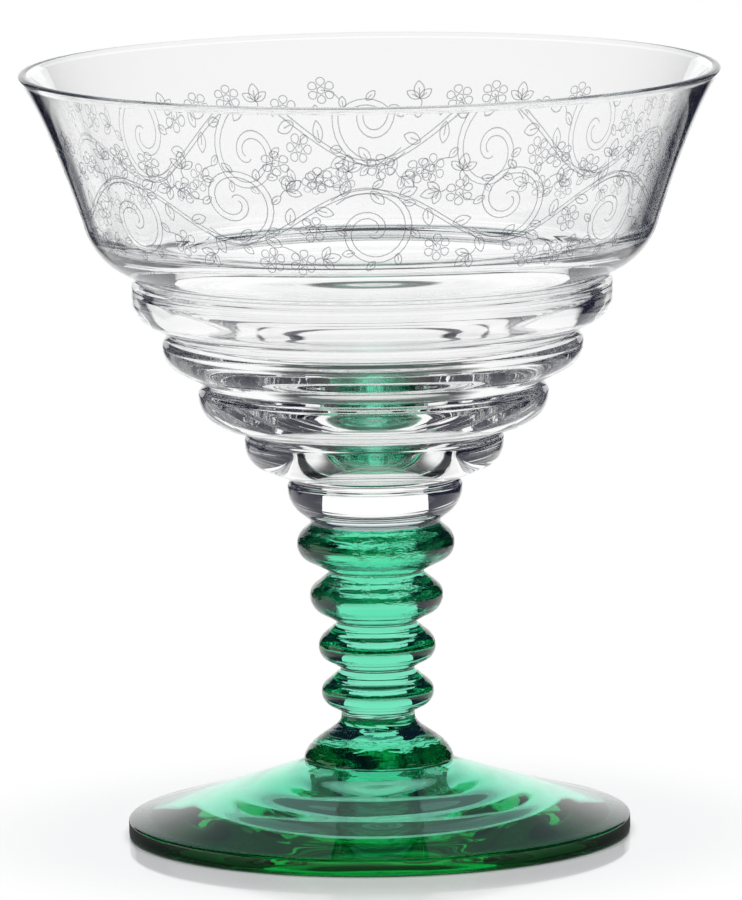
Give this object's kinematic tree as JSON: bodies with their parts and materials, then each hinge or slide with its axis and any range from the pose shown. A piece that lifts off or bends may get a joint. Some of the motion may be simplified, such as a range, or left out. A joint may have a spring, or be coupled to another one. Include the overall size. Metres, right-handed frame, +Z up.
{
  "type": "sherbet glass",
  "caption": "Stemmed sherbet glass: clear flaring bowl with rounded outside steps, on a green ringed stem and a low green conical foot.",
  "frame": {"origin": "centre of the circle on which the foot rests, at table height", "axes": "+Z up along the glass's axis of revolution, from the foot to the lip; X and Y are alike"},
  "size_m": [0.103, 0.103, 0.1135],
  "materials": {
    "clear_glass": "polished, with a fine etched band around the cup",
    "green_glass": "polished, with faint chill marks on the stem"
  },
  "bodies": {
    "root": {"bowl": "clear_glass", "stem": "green_glass", "foot": "green_glass"}
  },
  "joints": []
}
